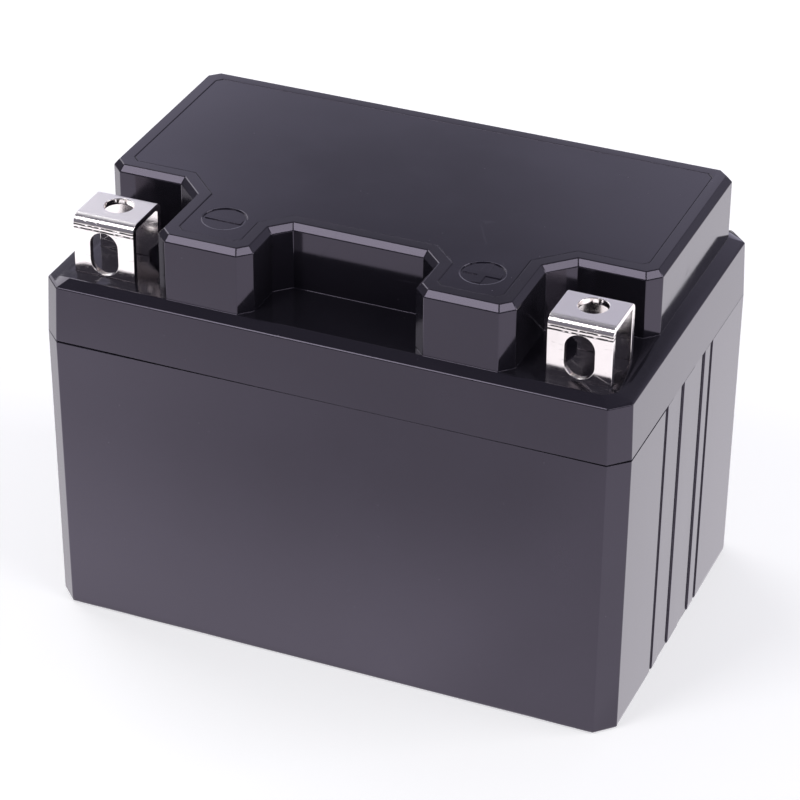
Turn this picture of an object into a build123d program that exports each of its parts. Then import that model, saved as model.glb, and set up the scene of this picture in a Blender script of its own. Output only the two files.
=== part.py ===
from build123d import *
import os

# Sealed lead-acid motorcycle battery, six cells in a row along X.
# Millimetres. +X runs from the negative to the positive terminal, -Y is the terminal side,
# +Z is up. The origin is the centre of the case's bottom face.

# ---- Overall sizes ----
case_length = 113.0         # X, over the end walls at the seam
case_width = 70.0           # Y, over the side walls at the seam
seam_height = 57.8          # Z of the weld between case and lid
skirt_height = 11.3         # from the seam up to the lid's outer edge
ledge_rise = 1.05           # from the lid's outer edge up to the floor round the terminals
block_height = 12.85        # from that floor up to the raised block's top

# ---- Case and lid shell ----
corner_cut = 3.4            # 45 degree cut on the vertical corners
case_draft = 0.36           # how much narrower each side is at the bottom
lid_draft = 0.34            # how much narrower each side is at the lid's outer edge
seam_groove = 0.2           # half of the V groove that the weld leaves
bottom_radius = 0.7
ledge_bevel = 0.3           # small bevel along the lid's outer edge
side_wall = 2.2
end_wall = 2.5
case_floor = 2.4
lid_wall = 2.0

# ---- Ribs on the end walls: flat bands sunk into the wall, given by |Y| ----
rib_depth = 0.3
sunk_bands = [(2.9, 8.9), (11.9, 13.3)]

# ---- Raised block with its two bosses ----
block_side_gap = 3.1        # from the seam's outline in to the block, at the ends and the back
boss_front_gap = 2.6        # from the seam's outline in to the bosses' front faces
terminal_recess_width = 19.3    # from the block's end to the boss
terminal_recess_depth = 20.75   # from the bosses' front faces back to the recess wall
middle_recess_depth = 12.85
boss_width = 18.65
block_corner_cut = 2.35     # outward corners
terminal_recess_cut = 4.4   # inward corners of the terminal recesses
middle_recess_cut = 2.9     # inward corners of the middle recess
top_bevel_width = 1.0
top_bevel_height = 1.2

# ---- Top cover ----
cover_inset = 3.4           # from the block's side walls to the cover's edge
cover_gap = 0.15
cover_thickness = 1.5
cover_sink = 0.05           # how far the cover's face lies below the rim
cover_corner_cut = 1.1
mark_front_gap = 10.2       # from a boss's front face to its polarity mark's centre
mark_diameter = 8.0
mark_depth = 0.4
mark_bar_gap = 0.5          # from the ends of the bars to the mark's rim
mark_bar_width = 1.5
mark_bar_height = 0.3

# ---- Valve gallery under the cover ----
cover_seat = 1.6            # width of the ledge that the cover rests on
gallery_depth = 7.0         # from the cover's underside to the deck
cap_side_gap = 0.5          # from the end caps to the gallery's end walls
chimney_diameter = 8.0
chimney_bore = 5.0
vent_slit_width = 3.0
vent_slit_depth = 0.35

# ---- Valve caps ----
cap_clearance = 0.05        # radial, cap on chimney
cap_wall = 1.25
cap_top = 1.2
cap_bevel = 0.35
cap_skirt_gap = 0.5         # from the deck to the cap's lower edge
valve_lift = 0.4            # how far a cap can rise before it meets the cover's pad
pad_diameter = 6.0
pad_height = 1.1            # how far the cover's pads reach down over the caps

# ---- Terminals: bent strips with a hole in the top and a slot in the front leg ----
terminal_end_gap = 11.05    # from the case's end to the terminal's middle
terminal_front_gap = 2.95   # from the bosses' front faces back to the front leg
terminal_depth = 11.15
terminal_width = 12.0
terminal_rise = 11.35       # from the lid's floor to the top of the top plate
strip_thickness = 1.2
bend_radius = 1.7
hole_diameter = 5.5
hole_shift = 0.9            # how far behind the terminal's middle the hole is
slot_width = 5.5
slot_length = 8.5
slot_above_floor = 0.3
shoulder_cut = 2.0          # how much narrower the back leg's foot is, on its inner side
shoulder_height = 3.2       # Z of the shoulder's lower end, above the lid's floor
shoulder_rise = 2.0
leg_depth = 4.2             # how far the legs reach below the lid's floor
leg_clearance = 0.05

# ---- Post, its seal and the resin cup under each terminal ----
post_diameter = 7.0
post_head_width = 9.0
post_head_height = 3.0
cup_margin_x = 0.8          # resin beside the legs
cup_margin_y = 1.0          # resin in front of and behind the legs
cup_wall = 1.1
cup_depth = 6.0
seal_height = 1.8
seal_clearance = 0.02       # radial, seal on post

# ---- Cells ----
cell_count = 6
partition = 1.4
weld_diameter = 6.0
weld_clearance = 0.05
weld_below_seam = 4.0
negative_plates = 4
positive_plates = 3
negative_plate_thickness = 1.5
positive_plate_thickness = 1.9
cell_corner_cut = 1.2       # cut on the end cells' outer corners
stack_side_gap = 0.15       # from the outer plates to the cell's walls
plate_edge_gap = 1.4        # from the plates' side edges to the case
plate_floor_gap = 1.2
separator_overhang = 0.9    # how far separators stand past the plates' side edges
separator_rise = 1.5        # how far separators stand above the plates
lug_width = 9.0
strap_behind_post = 2.8     # from the post's middle back to the strap's middle
strap_width = 13.0
strap_thickness = 4.0
strap_above_plates = 3.6
strap_below_seam = 4.6
tombstone_thickness = 2.4
tombstone_width = 11.0
tombstone_below_seam = 0.5

# ---- Worked out ----
half_length = case_length / 2
half_width = case_width / 2
ledge_height = seam_height + skirt_height
floor_height = ledge_height + ledge_rise
overall_height = floor_height + block_height
block_half_x = half_length - block_side_gap
block_back_y = half_width - block_side_gap
boss_front_y = -half_width + boss_front_gap
terminal_recess_y = boss_front_y + terminal_recess_depth
middle_recess_y = boss_front_y + middle_recess_depth
boss_outer_x = block_half_x - terminal_recess_width
boss_inner_x = boss_outer_x - boss_width
inner_half_x = half_length - end_wall
cell_length = (2 * inner_half_x - (cell_count - 1) * partition) / cell_count
cell_pitch = cell_length + partition
inner_half_y = half_width - side_wall
cover_bottom = overall_height - cover_thickness - cover_sink
deck_top = cover_bottom - gallery_depth
seat_inset = cover_inset + cover_seat
gallery_half_x = block_half_x - seat_inset
gallery_front_y = terminal_recess_y + seat_inset
gallery_back_y = block_back_y - seat_inset
chimney_y = (gallery_front_y + gallery_back_y) / 2
cap_bore = chimney_diameter + 2 * cap_clearance
cap_diameter = cap_bore + 2 * cap_wall
chimney_half_span = gallery_half_x - cap_diameter / 2 - cap_side_gap
chimney_pitch = 2 * chimney_half_span / (cell_count - 1)
pad_bottom = cover_bottom - pad_height
cap_top_height = pad_bottom - valve_lift
chimney_top = cap_top_height - cap_top
mark_x = (boss_outer_x + boss_inner_x) / 2
mark_y = boss_front_y + mark_front_gap
floor_bottom = floor_height - lid_wall
strap_top = seam_height - strap_below_seam
strap_bottom = strap_top - strap_thickness
plate_top = strap_bottom - strap_above_plates
plate_bottom = case_floor + plate_floor_gap
plate_half_width = inner_half_y - case_draft - plate_edge_gap
weld_height = seam_height - weld_below_seam
terminal_x = half_length - terminal_end_gap
terminal_front_y = boss_front_y + terminal_front_gap
terminal_back_y = terminal_front_y + terminal_depth
terminal_y = terminal_front_y + terminal_depth / 2
terminal_top = floor_height + terminal_rise
strap_y = -terminal_y - strap_behind_post
leg_bottom = floor_height - leg_depth
inset_ratio = 2 - 2 ** 0.5  # how fast a 45 degree corner cut shrinks as its outline moves in
above = 5.0                 # how far cutters run past the faces that they open


def cut_rectangle(x0, x1, y0, y1, cut):
    """Corners of a rectangle whose own corners are cut at 45 degrees."""
    return [(x0 + cut, y0), (x1 - cut, y0), (x1, y0 + cut), (x1, y1 - cut),
            (x1 - cut, y1), (x0 + cut, y1), (x0, y1 - cut), (x0, y0 + cut)]


def shell_outline(inset):
    """The case's outline at the seam, moved in by inset."""
    x, y = half_length - inset, half_width - inset
    return cut_rectangle(-x, x, -y, y, corner_cut)


def block_outline(inset, outward_cut=None):
    """The raised block's outline, moved in by inset."""
    grow = inset * inset_ratio
    cut = block_corner_cut - grow if outward_cut is None else outward_cut
    side, back = block_half_x - inset, block_back_y - inset
    recess, front = terminal_recess_y + inset, boss_front_y + inset
    outer, inner = boss_outer_x - inset, boss_inner_x + inset
    middle = middle_recess_y + inset
    deep, shallow = terminal_recess_cut + grow, middle_recess_cut + grow
    right = [(side - cut, back), (side, back - cut), (side, recess + cut), (side - cut, recess),
             (outer + deep, recess), (outer, recess - deep), (outer, front + cut), (outer - cut, front),
             (inner + cut, front), (inner, front + cut), (inner, middle - shallow), (inner - shallow, middle)]
    left = [(-x, y) for x, y in reversed(right)]
    return right + left


def face_at(points, z):
    return Plane.XY.offset(z) * make_face(Polyline(*points, close=True))


def through(*sections):
    """A solid with straight sides through outlines given as (points, z)."""
    return loft([face_at(points, z) for points, z in sections], ruled=True)


def prism(points, z0, z1):
    return extrude(face_at(points, z0), z1 - z0)


def block(x0, x1, y0, y1, z0, z1):
    size = (x1 - x0, y1 - y0, z1 - z0)
    return Pos((x0 + x1) / 2, (y0 + y1) / 2, (z0 + z1) / 2) * Box(*size)


def rod(x, y, diameter, z0, z1):
    return Pos(x, y, (z0 + z1) / 2) * Cylinder(diameter / 2, z1 - z0)


def cell_start(index):
    return -inner_half_x + index * cell_pitch


def chimney_x(index):
    return index * chimney_pitch - chimney_half_span


def cell_slab(index, z0, z1):
    start = cell_start(index)
    return block(start, start + cell_length, -half_width, half_width, z0, z1)


def negative_side(index):
    """Side of the cell that carries its negative strap: -1 is the terminal side."""
    return -1 if index % 2 == 0 else 1


def end_wall_bands(side):
    """Cutters for the sunk bands on one end wall. They follow the wall's draft."""
    foot, head = half_length - case_draft - rib_depth, half_length - rib_depth
    profile = [(side * foot, 0), (side * head, seam_height), (side * (head + above), seam_height),
               (side * (head + above), -above), (side * foot, -above)]
    cutters = []
    for near, far in sunk_bands:
        for y0 in (near, -far):
            face = Plane.XZ.offset(-y0) * make_face(Polyline(*profile, close=True))
            cutters.append(extrude(face, -(far - near)))
    return cutters


def make_case():
    groove = seam_groove
    shell = through((shell_outline(case_draft), 0),
                    (shell_outline(0), seam_height - groove),
                    (shell_outline(groove), seam_height))
    shell = fillet(shell.faces().sort_by(Axis.Z)[0].edges(), bottom_radius)
    for side in (-1, 1):
        for cutter in end_wall_bands(side):
            shell -= cutter
    y = inner_half_y - case_draft
    well = cut_rectangle(-inner_half_x, inner_half_x, -y, y, cell_corner_cut)
    cavity = prism(well, case_floor, seam_height + above)
    for index in range(cell_count):
        shell -= cavity & cell_slab(index, 0, seam_height + above)
    for index in range(1, cell_count):
        y = -negative_side(index - 1) * strap_y
        x = cell_start(index) - partition / 2
        shell -= Pos(x, y, weld_height) * Rot(0, 90, 0) * Cylinder(weld_diameter / 2, 2 * partition)
    return shell


def lid_outside():
    skirt = through((shell_outline(seam_groove), seam_height),
                    (shell_outline(0), seam_height + seam_groove),
                    (shell_outline(lid_draft), ledge_height - ledge_bevel),
                    (shell_outline(lid_draft + ledge_bevel), ledge_height))
    platform = cut_rectangle(-block_half_x, block_half_x, boss_front_y, block_back_y, block_corner_cut)
    slope = through((shell_outline(lid_draft + ledge_bevel), ledge_height), (platform, floor_height))
    raised = through((block_outline(0), ledge_height),
                     (block_outline(0), overall_height - top_bevel_height),
                     (block_outline(top_bevel_width), overall_height))
    return skirt + slope + raised


def lid_underside():
    """The space under the lid, before the partitions divide it."""
    x, y = inner_half_x, inner_half_y - lid_draft
    ceiling = ledge_height - lid_wall
    skirt_room = prism(cut_rectangle(-x, x, -y, y, corner_cut), seam_height - above, ceiling)
    block_room = prism(block_outline(lid_wall), ceiling, deck_top - lid_wall)
    front = block(-half_length, half_length, -half_width, gallery_front_y - lid_wall, 0, overall_height)
    boss_room = prism(block_outline(lid_wall), ceiling, cover_bottom - lid_wall) & front
    return skirt_room + block_room + boss_room


def terminal_leg_slots(side):
    """Slots in the lid's floor, a named clearance larger than the legs."""
    half = terminal_width / 2 + leg_clearance
    inner = half - shoulder_cut
    near, far = (inner, half) if side < 0 else (half, inner)
    t, c = strip_thickness, leg_clearance
    z0, z1 = floor_bottom - above, floor_height + above
    x = side * terminal_x
    front = block(x - half, x + half, terminal_front_y - c, terminal_front_y + t + c, z0, z1)
    back = block(x - far, x + near, terminal_back_y - t - c, terminal_back_y + c, z0, z1)
    return front + back


def cup_room(side, z0, z1, grow=0.0):
    x = side * terminal_x
    half, margin = terminal_width / 2 + cup_margin_x + grow, cup_margin_y + grow
    return block(x - half, x + half, terminal_front_y - margin, terminal_back_y + margin, z0, z1)


def make_lid():
    lid = lid_outside()
    cover_room = prism(block_outline(cover_inset - cover_gap, cover_corner_cut), cover_bottom, overall_height + above)
    gallery = block(-gallery_half_x, gallery_half_x, gallery_front_y, gallery_back_y, deck_top, cover_bottom + above)
    slit = block(-vent_slit_width / 2, vent_slit_width / 2, gallery_back_y,
                 block_back_y - cover_inset + cover_gap, cover_bottom - vent_slit_depth, cover_bottom + above)
    lid -= cover_room
    lid -= gallery
    lid -= slit
    room = lid_underside()
    for index in range(cell_count):
        lid -= room & cell_slab(index, seam_height - above, overall_height)
    for side in (-1, 1):
        lid += cup_room(side, floor_bottom - cup_depth, floor_bottom, cup_wall)
        lid -= cup_room(side, seam_height - above, floor_bottom)
        lid -= terminal_leg_slots(side)
    for index in range(cell_count):
        x = chimney_x(index)
        lid += rod(x, chimney_y, chimney_diameter, deck_top, chimney_top)
        lid -= rod(x, chimney_y, chimney_bore, deck_top - lid_wall - above, overall_height)
    return lid


def polarity_bars(side):
    z = overall_height - cover_sink - mark_depth
    length, width = mark_diameter / 2 - mark_bar_gap, mark_bar_width / 2
    x, y = side * mark_x, mark_y
    bars = block(x - length, x + length, y - width, y + width, z, z + mark_bar_height)
    if side > 0:
        bars += block(x - width, x + width, y - length, y + length, z, z + mark_bar_height)
    return bars


def make_top_cover():
    top = overall_height - cover_sink
    cover = prism(block_outline(cover_inset, cover_corner_cut), cover_bottom, top)
    for side in (-1, 1):
        cover -= rod(side * mark_x, mark_y, mark_diameter, top - mark_depth, top + above)
        cover += polarity_bars(side)
    for index in range(cell_count):
        cover += rod(chimney_x(index), chimney_y, pad_diameter, pad_bottom, cover_bottom)
    return cover


def make_valve_cap(index):
    """A rubber cup over the chimney. Its top rests on the chimney's rim."""
    x = chimney_x(index)
    cap = rod(x, chimney_y, cap_diameter, deck_top + cap_skirt_gap, cap_top_height)
    cap -= rod(x, chimney_y, cap_bore, deck_top, chimney_top)
    return chamfer(cap.edges().filter_by(GeomType.CIRCLE).group_by(Axis.Z)[-1], cap_bevel)


def make_terminal(side):
    x = side * terminal_x
    y0, y1, top, t = terminal_front_y, terminal_back_y, terminal_top, strip_thickness
    outer = Plane.YZ * make_face(Polyline((y0, leg_bottom), (y0, top), (y1, top), (y1, leg_bottom), close=True))
    inner = Plane.YZ * make_face(Polyline((y0 + t, leg_bottom - above), (y0 + t, top - t), (y1 - t, top - t),
                                          (y1 - t, leg_bottom - above), close=True))
    body = extrude(outer, terminal_width / 2, both=True)
    core = extrude(inner, terminal_width, both=True)
    body = fillet(body.edges().filter_by(Axis.X).group_by(Axis.Z)[-1], bend_radius)
    core = fillet(core.edges().filter_by(Axis.X).group_by(Axis.Z)[-1], bend_radius - t)
    strip = body - core
    strip -= rod(0, terminal_y + hole_shift, hole_diameter, top - 2 * t, top + above)
    slot_z = floor_height + slot_above_floor + slot_length / 2
    slot = SlotOverall(slot_length, slot_width, rotation=90)
    strip -= Pos(0, y0, slot_z) * Rot(90, 0, 0) * extrude(slot, 2 * t, both=True)
    edge = -side * terminal_width / 2
    step = edge + side * shoulder_cut
    low = floor_height + shoulder_height - shoulder_rise
    high = floor_height + shoulder_height
    beside, below = edge - side * above, leg_bottom - above
    shoulder = Plane.XZ.offset(-y1) * make_face(Polyline((beside, high + above), (edge, high), (step, low),
                                                         (step, below), (beside, below), close=True))
    strip -= extrude(shoulder, 2 * t, both=True)
    return Pos(x, 0, 0) * strip


def make_post(side):
    """The lead post with the head that the terminal's two legs are soldered to."""
    x = side * terminal_x
    half = post_head_width / 2
    head = block(x - half, x + half, terminal_front_y + strip_thickness, terminal_back_y - strip_thickness,
                 floor_bottom - post_head_height, floor_bottom)
    return head + rod(x, terminal_y, post_diameter, strap_top, floor_bottom - post_head_height)


def make_post_seal(side):
    """A rubber plug that closes the cup's mouth round the post."""
    z0 = floor_bottom - cup_depth
    seal = cup_room(side, z0, z0 + seal_height)
    return seal - rod(side * terminal_x, terminal_y, post_diameter + 2 * seal_clearance, z0 - above, z0 + above)


def make_resin(side):
    """Resin that fills the cup round the post's head and the terminal's legs."""
    z0 = floor_bottom - cup_depth + seal_height
    resin = cup_room(side, z0, floor_bottom)
    return resin - make_post(side) - make_terminal(side)


def stack_layers(index):
    """The cell's layers along X as (kind, x0, x1), from one wall to the other."""
    layer_count = negative_plates + positive_plates
    plates = negative_plates * negative_plate_thickness + positive_plates * positive_plate_thickness
    gap = (cell_length - 2 * stack_side_gap - plates) / (layer_count - 1)
    layers, x = [], cell_start(index) + stack_side_gap
    for number in range(layer_count):
        kind = "negative" if number % 2 == 0 else "positive"
        thick = negative_plate_thickness if kind == "negative" else positive_plate_thickness
        layers.append((kind, x, x + thick))
        x += thick
        if number < layer_count - 1:
            layers.append(("separator", x, x + gap))
            x += gap
    return layers


def make_plates(index, kind):
    half = plate_half_width
    side = negative_side(index) * (1 if kind == "negative" else -1)
    lug = side * strap_y
    plates = []
    for layer, x0, x1 in stack_layers(index):
        if layer == kind:
            plate = block(x0, x1, -half, half, plate_bottom, plate_top)
            plates.append(plate + block(x0, x1, lug - lug_width / 2, lug + lug_width / 2, plate_top, strap_bottom))
    return plates


def make_separators(index):
    half = plate_half_width + separator_overhang
    return [block(x0, x1, -half, half, case_floor, plate_top + separator_rise)
            for layer, x0, x1 in stack_layers(index) if layer == "separator"]


def make_strap(index, kind):
    """The bar that joins a cell's plates of one kind, with its upright for the weld to the next cell."""
    side = negative_side(index) * (1 if kind == "negative" else -1)
    spans = [(x0, x1) for layer, x0, x1 in stack_layers(index) if layer == kind]
    x0, x1 = spans[0][0], spans[-1][1]
    y = side * strap_y
    upright_top = seam_height - tombstone_below_seam
    has_upright = index < cell_count - 1 if kind == "positive" else index > 0
    start = cell_start(index)
    if has_upright and kind == "positive":
        x1 = start + cell_length
    elif has_upright:
        x0 = start
    strap = block(x0, x1, y - strap_width / 2, y + strap_width / 2, strap_bottom, strap_top)
    if has_upright:
        near = x1 - tombstone_thickness if kind == "positive" else x0
        half = tombstone_width / 2
        strap += block(near, near + tombstone_thickness, y - half, y + half, strap_top, upright_top)
    return strap


def make_weld(index):
    """The lead that joins two cells through the hole in the partition before cell index."""
    y = -negative_side(index - 1) * strap_y
    x = cell_start(index) - partition / 2
    radius = weld_diameter / 2 - weld_clearance
    return Pos(x, y, weld_height) * Rot(0, 90, 0) * Cylinder(radius, partition)


parts = {"case": make_case(), "lid": make_lid(), "top_cover": make_top_cover()}
for side, polarity in ((-1, "negative"), (1, "positive")):
    parts[polarity + "_terminal"] = make_terminal(side)
    parts[polarity + "_post"] = make_post(side)
    parts[polarity + "_post_seal"] = make_post_seal(side)
    parts[polarity + "_post_resin"] = make_resin(side)
for index in range(cell_count):
    number = index + 1
    parts[f"valve_cap_{number}"] = make_valve_cap(index)
    parts[f"cell_{number}_separators"] = Compound(make_separators(index))
    for kind in ("negative", "positive"):
        parts[f"cell_{number}_{kind}_plates"] = Compound(make_plates(index, kind))
        parts[f"cell_{number}_{kind}_strap"] = make_strap(index, kind)
    if index > 0:
        parts[f"cell_weld_{index}"] = make_weld(index)

os.makedirs("parts", exist_ok=True)
for name, shape in parts.items():
    export_step(shape, f"parts/{name}.step")
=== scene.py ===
import math
import bmesh
import bpy
from mathutils import Matrix, Vector


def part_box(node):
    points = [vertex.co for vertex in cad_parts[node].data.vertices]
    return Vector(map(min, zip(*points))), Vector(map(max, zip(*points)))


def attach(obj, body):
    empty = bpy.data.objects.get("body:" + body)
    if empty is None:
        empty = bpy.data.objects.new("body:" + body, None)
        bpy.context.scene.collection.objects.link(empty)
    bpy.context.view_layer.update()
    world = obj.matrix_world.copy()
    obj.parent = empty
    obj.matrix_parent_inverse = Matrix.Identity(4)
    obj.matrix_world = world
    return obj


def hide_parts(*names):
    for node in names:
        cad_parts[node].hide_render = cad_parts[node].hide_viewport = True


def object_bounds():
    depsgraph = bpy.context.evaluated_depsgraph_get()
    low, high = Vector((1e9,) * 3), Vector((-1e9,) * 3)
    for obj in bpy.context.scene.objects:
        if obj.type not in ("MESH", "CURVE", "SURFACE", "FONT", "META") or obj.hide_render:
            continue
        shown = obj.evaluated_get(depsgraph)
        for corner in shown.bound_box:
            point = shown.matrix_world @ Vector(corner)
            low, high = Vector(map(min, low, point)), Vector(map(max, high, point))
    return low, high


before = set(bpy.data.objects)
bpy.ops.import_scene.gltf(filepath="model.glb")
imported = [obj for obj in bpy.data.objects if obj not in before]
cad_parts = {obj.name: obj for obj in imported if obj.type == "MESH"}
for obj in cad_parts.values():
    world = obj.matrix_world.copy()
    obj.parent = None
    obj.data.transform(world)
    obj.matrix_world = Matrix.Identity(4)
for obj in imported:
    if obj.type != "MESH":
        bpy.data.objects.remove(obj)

# A sealed lead-acid motorcycle battery: black moulded case, lid and top cover, nickel-plated strap
# terminals, and the valve caps, posts and plate packs inside. Metres, in the frame of the loaded parts.

MM = 0.001
CAD_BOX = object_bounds()
CELLS = range(1, 7)
POLARITIES = ("negative", "positive")
WHITE = (1.0, 1.0, 1.0, 1.0)

# ---- Camera ----
CAMERA_AZIMUTH = 22.5
CAMERA_ELEVATION = 31.505
CAMERA_ROLL = 0.4835
CAMERA_DISTANCE = 640.355 * MM
AIM_RIGHT = 0.45 * MM       # the aim point, from the middle of the base, across the view
AIM_UP = 32.86 * MM         # and up the view
SENSOR_WIDTH = 36
LENS = 148.375

# ---- Studio light, as radiance where 1 is white ----
ROOM = 0.2
ROOM_TINT = (1.03, 1.0, 1.22, 1.0)
LOW_BACKDROP = 0.33         # the backdrop's lowest strip, then the strip above it, then its sides
UPPER_BACKDROP = 0.2
SIDE_BACKDROP = 0.3
TABLE_SEEN = 0.5            # what the table adds to the lamps' light on it, seen straight
TABLE_GLOW = 1.1            # the table in reflections, then what is added close to the object
FRONT_GLOW = 0.7
FRONT_RIGHT_LOSS = 0.55
LEFT_GLOW = 0.6
RIGHT_GLOW = 0.2
TABLE_TINT = (1.03, 1.0, 1.06, 1.0)
TABLE_RADIUS = 4.0
TABLE_DROP = 0.02 * MM      # the table lies this far under the base

# ---- Eased edges ----
SHARP_ANGLE = 25            # degrees between faces from which an edge counts as a moulded edge
EASE_STEPS = 3
WELD_EASE = 0.02 * MM
BASE_EASE = 0.15 * MM
CASE_EASE = 0.1 * MM
BLOCK_EASE = 0.16 * MM
LID_EASE = 0.12 * MM
COVER_EASE = 0.04 * MM
TERMINAL_EASE = 0.12 * MM
WELD_ZONE = 0.5 * MM        # edges this near to the weld are kept crisp
BASE_ZONE = 2 * MM
BLOCK_ZONE = 1.3 * MM       # below the lid's top, the block's own edges

# ---- The weld's groove between case and lid ----
GROOVE_CUTS = 14            # cuts along each long edge, so that the groove's width can vary
GROOVE_ZONE = 0.3 * MM      # the groove's edges are this near to the weld's height
GROOVE_LIPS = (0.15 * MM, 0.25 * MM)    # the lips' height above or below the weld is between these
GROOVE_LONG_EDGE = 20 * MM
GROOVE_OUTSIDE = (52 * MM, 33.548 * MM)     # the long edges outside this half length or half width
GROOVE_EXTRA_DEPTH = 0.25 * MM
LEVEL = 0.01 * MM           # heights that differ by less count as the same
END_WALL = 0.97             # share of the half length from which a place is on an end wall
FAINTEST_AT = 0.2           # share of the half length where the front's groove is narrowest
FAINTEST = 0.2              # share of its height that a lip keeps there
FAINT_RISE = 0.9            # and how fast that share grows on both sides
OTHER_SIDES = 0.5           # the share kept at the back and the left
DARK_END = -13 * MM         # in front of this, the right end's groove keeps its full width
OUTER_BAND = 13.2 * MM      # from the middle, where the end walls' outermost bands begin
END_ZONE = 0.25 * MM        # how near to the end walls' plane those bands are
SIDE_ZONE = 1 * MM          # how near to the front or the back the groove's floor is

# ---- The cover's gap and pads ----
GAP_CLOSED = 0.09 * MM
GAP_CLOSED_BY_TERMINAL = 0.04 * MM
RECESS_ACROSS = (27 * MM, 42 * MM)      # the cover's edge along a terminal's recess, from the middle
RECESS_BACK = (-20 * MM, 0)
COVER_WALL = 2 * MM         # below the cover's top, its outer wall
UPRIGHT = 0.1               # a wall's normal leans up or down by less
IN_LINE = 0.99              # the cosine between two walls that count as one
PAD_ZONE = 0.1 * MM
PAD_RELIEF = 0.03 * MM

# ---- Polarity marks ----
MARK_X = 24.775 * MM
MARK_Y = -22.2 * MM
MARK_RADIUS = 4.0 * MM
MARK_ZONE = 1.1 * MARK_RADIUS
MARK_SUNK = (0.02 * MM, 0.6 * MM)   # how far below the cover's top the marks' faces lie
MARK_SHARE = 0.5            # how deep the worn marks are, of their full depth
MARK_LINE_OFFSET = 0.1 * MM
MARK_LINE_WIDTH = 0.12 * MM

# ---- Crease lines under the terminals' front bends ----
CREASES = (1.65 * MM, 2.3 * MM)     # below the terminal's top
CREASE_BACK = -28.3 * MM            # only in front of this
CREASE_WANDER = 0.3 * MM
CREASE_EDGE = (0.09 * MM, 0.2 * MM)

# ---- Plate grids ----
WIRE_PITCH_ACROSS = 5.2 * MM
WIRE_PITCH_UP = 3.4 * MM


# ---------------------------------------------------------------- shader helpers

class Value:
    """A shader socket that takes part in Python arithmetic. Each operation adds a Math node."""

    def __init__(self, nodes, socket):
        self.nodes = nodes
        self.socket = socket

    def math(self, operation, *values):
        return self.nodes.node("Math", {"operation": operation}, dict(enumerate(values)))

    def __add__(self, other):
        return self.math("ADD", self, other)

    def __sub__(self, other):
        return self.math("SUBTRACT", self, other)

    def __rsub__(self, other):
        return self.math("SUBTRACT", other, self)

    def __mul__(self, other):
        return self.math("MULTIPLY", self, other)

    def __truediv__(self, other):
        return self.math("DIVIDE", self, other)

    def __abs__(self):
        return self.math("ABSOLUTE", self)

    def root(self):
        return self.math("SQRT", self)

    def fraction(self):
        return self.math("FRACT", self)

    def larger(self, other):
        return self.math("MAXIMUM", self, other)

    def rise(self, low, high):
        """0 below low, 1 above high, and a smooth step between."""
        sockets = {"Value": self, "From Min": low, "From Max": high}
        return self.nodes.node("MapRange", {"interpolation_type": "SMOOTHSTEP"}, sockets)

    def fall(self, low, high):
        """1 below low, 0 above high, and a smooth step between."""
        return 1 - self.rise(low, high)

    __radd__ = __add__
    __rmul__ = __mul__


class Nodes:
    """The shader nodes of a material or a world."""

    def __init__(self, owner):
        owner.use_nodes = True
        self.tree = owner.node_tree

    def feed(self, socket, value):
        if isinstance(value, Value):
            self.tree.links.new(value.socket, socket)
        else:
            socket.default_value = value

    def node(self, kind, settings=None, sockets=None, output=0):
        """Adds a node: its type, its settings, and the values or links of its sockets."""
        node = self.tree.nodes.new("ShaderNode" + kind)
        for name, value in (settings or {}).items():
            setattr(node, name, value)
        for name, value in (sockets or {}).items():
            self.feed(node.inputs[name], value)
        return Value(self, node.outputs[output])

    def axes(self, vector):
        return [self.node("SeparateXYZ", {}, {0: vector}, axis) for axis in "XYZ"]

    def blend(self, factor, first, second):
        """A colour between two colours."""
        return self.node("Mix", {"data_type": "RGBA"}, {0: factor, 6: first, 7: second}, 2)

    def scaled(self, colour, amount):
        """A colour made brighter or darker."""
        sockets = {"Vector": colour, "Scale": amount}
        return self.node("VectorMath", {"operation": "SCALE"}, sockets)

    def seen_by(self, kind):
        """1 for rays of this kind."""
        return self.node("LightPath", output=f"Is {kind} Ray")


class Finish(Nodes):
    """A material under construction."""

    def __init__(self, name):
        self.material = bpy.data.materials.new(name)
        super().__init__(self.material)
        self.shader = self.tree.nodes["Principled BSDF"]
        self.place = self.node("TexCoord", output="Object")
        self.x, self.y, self.z = self.axes(self.place)

    def stretched(self, x, y, z):
        """The place, scaled along each axis."""
        return self.node("VectorMath", {"operation": "MULTIPLY"}, {0: self.place, 1: (x, y, z)})

    def noise(self, scale, detail=2.0, roughness=0.5, at=None):
        place = at or self.place
        sockets = {"Vector": place, "Scale": scale, "Detail": detail, "Roughness": roughness}
        return self.node("TexNoise", {}, sockets)

    def cracks(self, scale, at):
        """Distance to the edges of random cells."""
        return self.node("TexVoronoi", {"feature": "DISTANCE_TO_EDGE"}, {"Vector": at, "Scale": scale})

    def spots(self, scale):
        """Distance to scattered points."""
        return self.node("TexVoronoi", {"feature": "F1"}, {"Vector": self.place, "Scale": scale})

    def bump(self, height, depth):
        """Height is 0 to 1, and depth is how far 1 stands out, in metres."""
        return self.node("Bump", {}, {"Height": height, "Distance": depth})

    def done(self, **sockets):
        for name, value in sockets.items():
            self.feed(self.shader.inputs[name.replace("_", " ")], value)
        return self.material


def rgb(red, green, blue):
    return (red, green, blue, 1.0)


# ---------------------------------------------------------------- finishes

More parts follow.
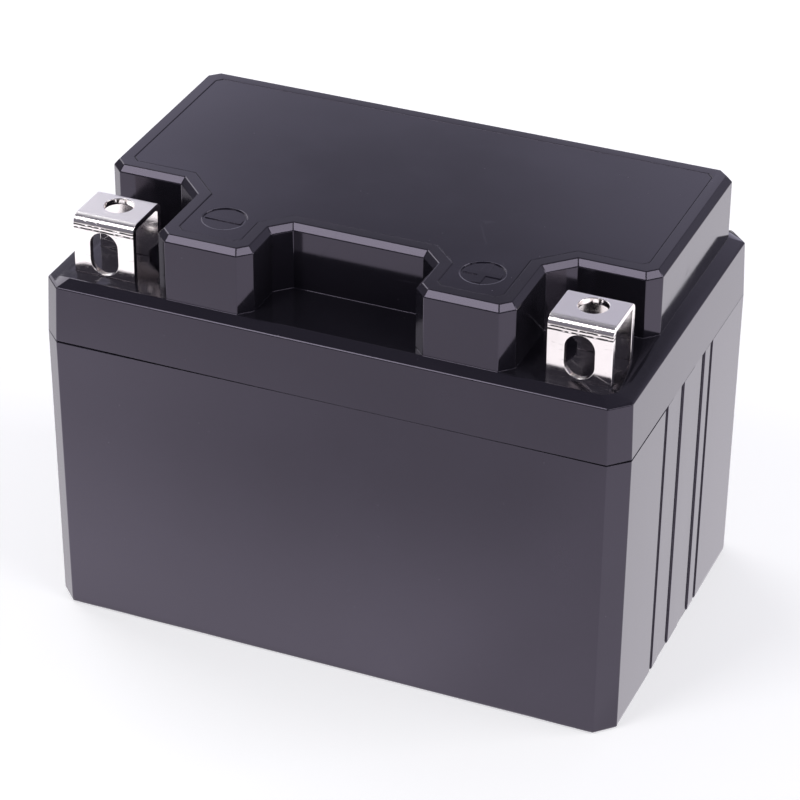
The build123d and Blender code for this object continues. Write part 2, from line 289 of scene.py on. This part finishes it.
def moulded_black(name, shade, tint, waviness, marked=False):
    """Polished black styrene. Wiping has left faint haze and hairlines, and a little dust."""
    finish = Finish(name)
    haze = finish.noise(38, 4, 0.6).rise(0.42, 0.72)
    mottle = finish.noise(160, 3)
    wiped = finish.noise(70, 1).rise(0.52, 0.6)
    hairlines = finish.cracks(46, finish.stretched(1.0, 5.0, 1.4)).fall(0.0, 0.008) * wiped
    dusty = finish.noise(90, 1).rise(0.56, 0.64)
    dust = finish.spots(520).fall(0.035, 0.06) * dusty
    base = finish.blend(mottle * 0.25 + haze * 0.35, shade, tint)
    base = finish.blend(dust * 0.4, base, rgb(0.20, 0.19, 0.21))
    wave = finish.noise(55, 1)
    grain = finish.noise(1500, 2)
    height = wave + grain * 0.012 - hairlines * 0.02 + dust * 0.03
    if marked:
        height = height - mark_line(finish) * 6
    return finish.done(
        IOR=1.57,
        Specular_Tint=rgb(0.87, 0.78, 1.0),
        Base_Color=base,
        Roughness=0.08 + haze * 0.04 + hairlines * 0.12 + dust * 0.3,
        Normal=finish.bump(height, waviness))


def mark_line(finish):
    """The thin groove round each polarity mark: 1 along it, 0 elsewhere."""
    beside = abs(finish.x) - MARK_X
    behind = finish.y - MARK_Y
    from_centre = (beside * beside + behind * behind).root()
    return abs(from_centre - MARK_RADIUS - MARK_LINE_OFFSET).fall(0.0, MARK_LINE_WIDTH)


def nickel_plate(name):
    """Nickel over brass strip: fine rolling lines, a little tarnish, and a duller top whose colour is
    painted lighter, a painted highlight.
    """
    finish = Finish(name)
    lines = finish.noise(420, 3, 0.6, finish.stretched(0.12, 2.2, 2.2))
    tarnish = finish.noise(210, 4, 0.65).rise(0.46, 0.7)
    pits = finish.spots(1500).fall(0.05, 0.12)
    scuffed = finish.noise(300, 1).rise(0.5, 0.6)
    scratch = finish.cracks(260, finish.stretched(0.5, 1.6, 2.4)).fall(0.0, 0.012) * scuffed
    crease = bend_creases(finish)
    painted_crease_reflection = crease * finish.noise(1400, 3).rise(0.34, 0.5)
    dull_and_painted_lit_top = finish.axes(finish.node("NewGeometry", output="Normal"))[2].rise(0.8, 0.95)
    base = finish.blend(tarnish * 0.4, rgb(0.83, 0.79, 0.77), rgb(0.72, 0.68, 0.66))
    # painted reflection: the nickel is painted near black along the ragged crease lines
    base = finish.blend(painted_crease_reflection, base, rgb(0.04, 0.04, 0.04))
    # painted highlight: faces turned up get a lighter base colour, standing in for the brighter light they
    # reflect
    base = finish.blend(dull_and_painted_lit_top * 0.6, base, rgb(0.96, 0.94, 0.93))
    height = lines * 0.4 - scratch * 0.6 - pits * 0.5 - crease * 2.5
    return finish.done(
        Base_Color=base,
        Metallic=1.0,
        Roughness=0.08 + lines * 0.08 + tarnish * 0.06 + scratch * 0.1 + dull_and_painted_lit_top * 0.22,
        Normal=finish.bump(height, 0.012 * MM))


def bend_creases(finish):
    """Ragged lines where the strip's plating has drawn at the foot of the front bend. They dent the
    surface, and along them a dark reflection is painted into the colour.
    """
    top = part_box("negative_terminal")[1].z
    wander = (finish.noise(700, 3) - 0.5) * CREASE_WANDER
    below_top = top - finish.z + wander
    upper, lower = (abs(below_top - depth).fall(*CREASE_EDGE) for depth in CREASES)
    return upper.larger(lower) * finish.y.fall(CREASE_BACK, CREASE_BACK + 0.1 * MM)


def lead_metal(name):
    """Cast lead: dull grey, mottled with oxide, with a skin that is a little uneven."""
    finish = Finish(name)
    oxide = finish.noise(240, 5, 0.65).rise(0.35, 0.7)
    skin = finish.noise(900, 3)
    bright = finish.noise(620, 2).rise(0.58, 0.7)
    base = finish.blend(oxide, rgb(0.42, 0.43, 0.45), rgb(0.24, 0.245, 0.26))
    base = finish.blend(bright * 0.5, base, rgb(0.60, 0.61, 0.63))
    return finish.done(
        Base_Color=base,
        Metallic=0.85,
        Roughness=0.42 + oxide * 0.25,
        Normal=finish.bump(skin + oxide * 0.5, 0.08 * MM))


def plate_paste(name, dark, light, grid_show):
    """Pasted lead grid: crumbly paste, with the grid's wires standing a little proud."""
    finish = Finish(name)
    pitches = ((finish.y, WIRE_PITCH_ACROSS), (finish.z, WIRE_PITCH_UP))
    uprights, rows = (abs((along / pitch).fraction() - 0.5).fall(0.06, 0.12) for along, pitch in pitches)
    grid = uprights.larger(rows)
    crumbs = finish.noise(1700, 5, 0.7)
    patches = finish.noise(190, 3)
    base = finish.blend(crumbs * 0.6 + patches * 0.4, dark, light)
    base = finish.blend(grid * grid_show, base, rgb(0.30, 0.31, 0.33))
    return finish.done(
        Base_Color=base,
        Roughness=0.9 - grid * 0.3,
        Normal=finish.bump(crumbs + grid * 1.2, 0.1 * MM))


def glass_mat(name):
    """Pressed glass fibre: off-white felt with fine crossing fibres."""
    finish = Finish(name)
    fibres = finish.noise(900, 4, 0.7, finish.stretched(1.0, 0.25, 2.0))
    cross = finish.noise(900, 4, 0.7, finish.stretched(1.0, 2.0, 0.25))
    damp = finish.noise(60, 3).rise(0.45, 0.75)
    base = finish.blend(fibres * 0.5 + cross * 0.5, rgb(0.60, 0.60, 0.57), rgb(0.86, 0.86, 0.83))
    base = finish.blend(damp * 0.4, base, rgb(0.56, 0.56, 0.52))
    return finish.done(
        Base_Color=base,
        Roughness=0.95 - damp * 0.25,
        Normal=finish.bump(fibres + cross, 0.12 * MM))


def valve_rubber(name):
    """Moulded black rubber with a talc bloom."""
    finish = Finish(name)
    bloom = finish.noise(320, 4, 0.6).rise(0.4, 0.75)
    grain = finish.noise(2600, 2)
    base = finish.blend(bloom * 0.5, rgb(0.018, 0.018, 0.018), rgb(0.075, 0.073, 0.07))
    return finish.done(
        Base_Color=base,
        Roughness=0.55 + bloom * 0.3,
        Normal=finish.bump(grain, 0.03 * MM))


def sealing_resin(name):
    """Poured epoxy: glossy, with a slight swirl and small bubbles."""
    finish = Finish(name)
    swirl = finish.noise(260, 4, 0.55)
    bubbles = finish.spots(900).fall(0.10, 0.16)
    base = finish.blend(swirl * 0.6 + bubbles * 0.3, rgb(0.02, 0.02, 0.025), rgb(0.10, 0.09, 0.09))
    return finish.done(
        Base_Color=base,
        Roughness=0.12 + swirl * 0.1,
        Normal=finish.bump(swirl * 0.6 - bubbles * 0.5, 0.06 * MM))


# ---------------------------------------------------------------- meshes

def joined_copy(node):
    """A CAD node's mesh with its faces joined at shared corners and flat faces made whole."""
    work = bmesh.new()
    work.from_mesh(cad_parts[node].data)
    bmesh.ops.remove_doubles(work, verts=work.verts, dist=0.002 * MM)
    bmesh.ops.dissolve_limit(work, angle_limit=math.radians(0.5), verts=work.verts, edges=work.edges)
    return work


def eased_piece(name, work, radius_at):
    """An object from the mesh. radius_at gives each moulded edge's radius from the edge's middle."""
    moulded = {}
    for edge in work.edges:
        if edge.is_manifold and edge.calc_face_angle() > math.radians(SHARP_ANGLE):
            middle = (edge.verts[0].co + edge.verts[1].co) / 2
            moulded[edge.index] = radius_at(middle)
    widest = max(moulded.values())
    weight = work.edges.layers.float.new("bevel_weight_edge")
    work.edges.ensure_lookup_table()
    for index, radius in moulded.items():
        work.edges[index][weight] = radius / widest
    mesh = bpy.data.meshes.new(name)
    work.to_mesh(mesh)
    work.free()
    for polygon in mesh.polygons:
        polygon.use_smooth = True
    rough = bpy.data.objects.new(name + "_rough", mesh)
    bpy.context.scene.collection.objects.link(rough)
    bevel = rough.modifiers.new("Ease", "BEVEL")
    bevel.limit_method = "WEIGHT"
    bevel.width = widest
    bevel.segments = EASE_STEPS
    bevel.use_clamp_overlap = False
    bevel.miter_outer = "MITER_SHARP"
    rough.modifiers.new("Even", "WEIGHTED_NORMAL")
    depsgraph = bpy.context.evaluated_depsgraph_get()
    final = bpy.data.meshes.new_from_object(rough.evaluated_get(depsgraph))
    bpy.data.objects.remove(rough)
    final.name = name
    piece = bpy.data.objects.new(name, final)
    bpy.context.scene.collection.objects.link(piece)
    return piece


def finish_piece(piece, node, body, material):
    piece.data.materials.clear()
    piece.data.materials.append(material)
    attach(piece, body)
    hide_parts(node)


def case_radius(middle):
    if middle.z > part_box("case")[1].z - WELD_ZONE:
        return WELD_EASE
    return BASE_EASE if middle.z < BASE_ZONE else CASE_EASE


def lid_radius(middle):
    low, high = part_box("lid")
    if middle.z < low.z + WELD_ZONE:
        return WELD_EASE
    return BLOCK_EASE if middle.z > high.z - BLOCK_ZONE else LID_EASE


def cover_radius(middle):
    return COVER_EASE


def terminal_radius(middle):
    return TERMINAL_EASE


def runs_along_groove(edge, weld):
    """Whether an edge is one of the groove's long level edges, on the outside."""
    start, end = (vert.co for vert in edge.verts)
    at_weld = abs(start.z - weld) < GROOVE_ZONE and abs(end.z - weld) < GROOVE_ZONE
    level = abs(start.z - end.z) < LEVEL
    outside = abs(start.x) > GROOVE_OUTSIDE[0] or abs(start.y) > GROOVE_OUTSIDE[1]
    return at_weld and level and outside and edge.calc_length() > GROOVE_LONG_EDGE


def lip_share(place, half_length):
    """How much of its height a lip of the groove keeps: less where the weld hardly shows."""
    along = place.x / half_length
    if place.y < 0 and abs(along) < END_WALL:
        return min(FAINTEST + FAINT_RISE * (along - FAINTEST_AT) ** 2, 1.0)
    if along > END_WALL:
        return 1.0 if place.y < DARK_END else FAINTEST
    return OTHER_SIDES


def tighten_groove(work):
    """Narrows the V groove of the weld, so that it shows as a dark line, and deepens its floor."""
    half_length, half_width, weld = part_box("case")[1]
    long_edges = [edge for edge in work.edges if runs_along_groove(edge, weld)]
    bmesh.ops.subdivide_edges(work, edges=long_edges, cuts=GROOVE_CUTS, use_grid_fill=True)
    for vert in work.verts:
        place = vert.co
        rise = place.z - weld
        if GROOVE_LIPS[0] < abs(rise) < GROOVE_LIPS[1]:
            place.z = weld + rise * lip_share(place, half_length)
        elif abs(rise) < LEVEL:
            if abs(place.x) > half_length - END_ZONE and abs(place.y) > OUTER_BAND:
                place.x -= math.copysign(GROOVE_EXTRA_DEPTH, place.x)
            if abs(place.y) > half_width - SIDE_ZONE:
                place.y -= math.copysign(GROOVE_EXTRA_DEPTH, place.y)


def in_mark(place):
    """Whether a place is within a polarity mark, seen from above."""
    return math.hypot(abs(place.x) - MARK_X, place.y - MARK_Y) < MARK_ZONE


def beside_terminal(place):
    """Whether a place on the cover's edge is next to a terminal's recess."""
    across = RECESS_ACROSS[0] < abs(place.x) < RECESS_ACROSS[1]
    return across and RECESS_BACK[0] < place.y < RECESS_BACK[1]


def close_cover_gap(work):
    """Moves the cover's edge out, so that its gap is a faint line, wider beside the terminals."""
    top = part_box("top_cover")[1].z
    moves = {}
    for vert in work.verts:
        if in_mark(vert.co) or abs(vert.co.z - top) >= COVER_WALL:
            continue
        walls = [face.normal for face in vert.link_faces if abs(face.normal.z) < UPRIGHT]
        if len(walls) == 2 and walls[0].dot(walls[1]) < IN_LINE:
            corner = (walls[0] + walls[1]) / (1 + walls[0].dot(walls[1]))
            moves[vert] = corner * (GAP_CLOSED_BY_TERMINAL if beside_terminal(vert.co) else GAP_CLOSED)
    for vert, move in moves.items():
        vert.co += move


def clear_pads(work):
    """Shortens the pads over the valve caps by a hair, so that a lifted cap stops just short of them."""
    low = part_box("top_cover")[0]
    for vert in work.verts:
        if vert.co.z < low.z + PAD_ZONE:
            vert.co.z += PAD_RELIEF


def flatten_marks(work):
    """Makes the polarity marks shallower, as wear and polish leave them."""
    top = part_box("top_cover")[1].z
    for vert in work.verts:
        sunk = top - vert.co.z
        if MARK_SUNK[0] < sunk < MARK_SUNK[1] and in_mark(vert.co):
            vert.co.z = top - sunk * MARK_SHARE


# ---------------------------------------------------------------- pieces

def make_case_and_lid():
    case_black = moulded_black("case_black", rgb(0.011, 0.010, 0.015), rgb(0.021, 0.019, 0.029), 0.004 * MM)
    lid_black = moulded_black("lid_black", rgb(0.012, 0.011, 0.015), rgb(0.021, 0.019, 0.027), 0.003 * MM)
    case = joined_copy("case")
    tighten_groove(case)
    piece = eased_piece("moulded_case", case, case_radius)
    finish_piece(piece, "case", "battery", case_black)
    lid = joined_copy("lid")
    tighten_groove(lid)
    piece = eased_piece("moulded_lid", lid, lid_radius)
    finish_piece(piece, "lid", "battery", lid_black)


def make_cover():
    shade, tint = rgb(0.010, 0.009, 0.014), rgb(0.018, 0.016, 0.026)
    cover_black = moulded_black("cover_black", shade, tint, 0.004 * MM, marked=True)
    cover = joined_copy("top_cover")
    close_cover_gap(cover)
    clear_pads(cover)
    flatten_marks(cover)
    piece = eased_piece("moulded_cover", cover, cover_radius)
    finish_piece(piece, "top_cover", "battery", cover_black)


def make_terminals():
    nickel = nickel_plate("nickel")
    for polarity in POLARITIES:
        node = polarity + "_terminal"
        piece = eased_piece(polarity + "_strap_terminal", joined_copy(node), terminal_radius)
        finish_piece(piece, node, "battery", nickel)


def finish_inner_parts():
    """Materials of the nodes that keep their CAD shape."""
    lead = lead_metal("lead")
    rubber = valve_rubber("rubber")
    resin = sealing_resin("resin")
    mat = glass_mat("mat")
    negative = plate_paste("negative_paste", rgb(0.20, 0.205, 0.21), rgb(0.42, 0.43, 0.44), 0.5)
    positive = plate_paste("positive_paste", rgb(0.055, 0.022, 0.012), rgb(0.17, 0.075, 0.04), 0.35)
    worn_by = {}
    for polarity in POLARITIES:
        worn_by[polarity + "_post"] = lead
        worn_by[polarity + "_post_seal"] = rubber
        worn_by[polarity + "_post_resin"] = resin
    for cell in CELLS:
        worn_by[f"valve_cap_{cell}"] = rubber
        worn_by[f"cell_{cell}_separators"] = mat
        worn_by[f"cell_{cell}_negative_plates"] = negative
        worn_by[f"cell_{cell}_positive_plates"] = positive
        worn_by[f"cell_{cell}_negative_strap"] = lead
        worn_by[f"cell_{cell}_positive_strap"] = lead
    for weld in CELLS[:-1]:
        worn_by[f"cell_weld_{weld}"] = lead
    for node, material in worn_by.items():
        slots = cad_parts[node].data.materials
        slots.clear()
        slots.append(material)


# ---------------------------------------------------------------- studio

def make_camera():
    turns = (CAMERA_AZIMUTH, CAMERA_ELEVATION, CAMERA_ROLL)
    azimuth, elevation, roll = (math.radians(turn) for turn in turns)
    outward = Vector((math.sin(azimuth), -math.cos(azimuth), 0))
    back = outward * math.cos(elevation) + Vector((0, 0, math.sin(elevation)))
    level = Vector((math.cos(azimuth), math.sin(azimuth), 0))
    upright = back.cross(level)
    right = level * math.cos(roll) + upright * math.sin(roll)
    up = upright * math.cos(roll) - level * math.sin(roll)
    camera = bpy.data.objects.new("camera", bpy.data.cameras.new("camera"))
    camera.data.lens = LENS
    camera.data.sensor_width = SENSOR_WIDTH
    camera.data.clip_start = 10 * MM
    camera.data.clip_end = 20
    place = back * CAMERA_DISTANCE + right * AIM_RIGHT + up * AIM_UP
    turn = Matrix((right, up, back)).transposed()
    camera.matrix_world = Matrix.Translation(place) @ turn.to_4x4()
    bpy.context.scene.collection.objects.link(camera)
    bpy.context.scene.camera = camera


def add_softbox(name, direction, distance, size, radiance):
    """A flat soft lamp that faces the object from a direction, as bright as radiance."""
    lamp = bpy.data.lights.new(name, "AREA")
    lamp.shape = "RECTANGLE"
    lamp.size, lamp.size_y = size
    lamp.energy = radiance * math.pi * size[0] * size[1]
    softbox = bpy.data.objects.new(name, lamp)
    away = Vector(direction).normalized()
    softbox.location = away * distance + Vector((0, 0, CAD_BOX[1].z / 2))
    softbox.rotation_euler = away.to_track_quat("Z", "Y").to_euler()
    bpy.context.scene.collection.objects.link(softbox)


def make_floor():
    """A white table. In reflections it glows more close to the object's front and on the left."""
    finish = Finish("white_table")
    gloss = finish.seen_by("Glossy").larger(finish.seen_by("Transmission"))
    camera = finish.seen_by("Camera")
    forward = 0 - finish.y
    leftward = 0 - finish.x
    before_front = forward.rise(33 * MM, 37 * MM) * forward.fall(38 * MM, 105 * MM)
    fades = 1 - 0.75 * forward.rise(105 * MM, 160 * MM)
    on_left = leftward.rise(20 * MM, 110 * MM) * forward.rise(25 * MM, 50 * MM) * fades
    on_right = finish.x.rise(10 * MM, 35 * MM)
    far_off = (finish.x * finish.x + finish.y * finish.y).rise(0.3 ** 2, 0.55 ** 2)
    near = before_front * (FRONT_GLOW - on_right * FRONT_RIGHT_LOSS)
    glow = (TABLE_GLOW + near + on_left * LEFT_GLOW + on_right * RIGHT_GLOW) * (1 - far_off * 0.9)
    tint = finish.blend(gloss, WHITE, TABLE_TINT)
    finish.done(
        Base_Color=finish.blend(gloss, rgb(0.8, 0.8, 0.8), rgb(0.05, 0.05, 0.05)),
        Roughness=0.9,
        Emission_Color=finish.scaled(tint, camera * TABLE_SEEN + gloss * glow),
        Emission_Strength=1.0)
    bpy.ops.mesh.primitive_circle_add(
        vertices=96, radius=TABLE_RADIUS, fill_type="NGON", location=(0, 0, -TABLE_DROP))
    floor = bpy.context.object
    floor.name = "table_top"
    floor.data.materials.append(finish.material)


def make_world():
    """A low pale backdrop behind the object, darkest straight behind it, in a dark room."""
    world = bpy.data.worlds.new("studio")
    room = Nodes(world)
    across, depth, height = room.axes(room.node("TexCoord"))
    sideways = across / depth
    upper = UPPER_BACKDROP * height.fall(0.476, 0.494)
    low = LOW_BACKDROP * height.fall(0.43, 0.46)
    sides = SIDE_BACKDROP * abs(sideways + 0.415).rise(0.02, 0.13) * height.fall(0.5, 0.56)
    fades_right = 1 - 0.75 * sideways.rise(0.0, 0.5)
    fades_left = 1 - 0.85 * (0 - sideways).rise(0.55, 0.72)
    behind = depth.rise(0.2, 0.6) * fades_right * fades_left
    camera = room.seen_by("Camera")
    background = room.tree.nodes["Background"]
    strength = ((upper + low + sides) * behind + ROOM) * (1 - camera) + camera
    room.feed(background.inputs["Strength"], strength)
    room.feed(background.inputs["Color"], room.blend(camera, ROOM_TINT, WHITE))
    bpy.context.scene.world = world


def make_studio():
    make_camera()
    add_softbox("key_softbox", (-0.33, -0.56, 0.75), 1.0, (0.36, 0.46), 4.6)
    add_softbox("front_right_softbox", (0.69, -0.23, 0.68), 1.0, (0.36, 0.30), 3.8)
    add_softbox("left_softbox", (-0.75, 0.45, 0.62), 1.3, (0.8, 0.7), 2.5)
    add_softbox("right_softbox", (0.98, 0.25, 0.3), 1.2, (0.7, 0.6), 4.5)
    make_world()
    make_floor()
    bpy.context.scene.view_settings.view_transform = "Standard"


make_case_and_lid()
make_cover()
make_terminals()
finish_inner_parts()
make_studio()
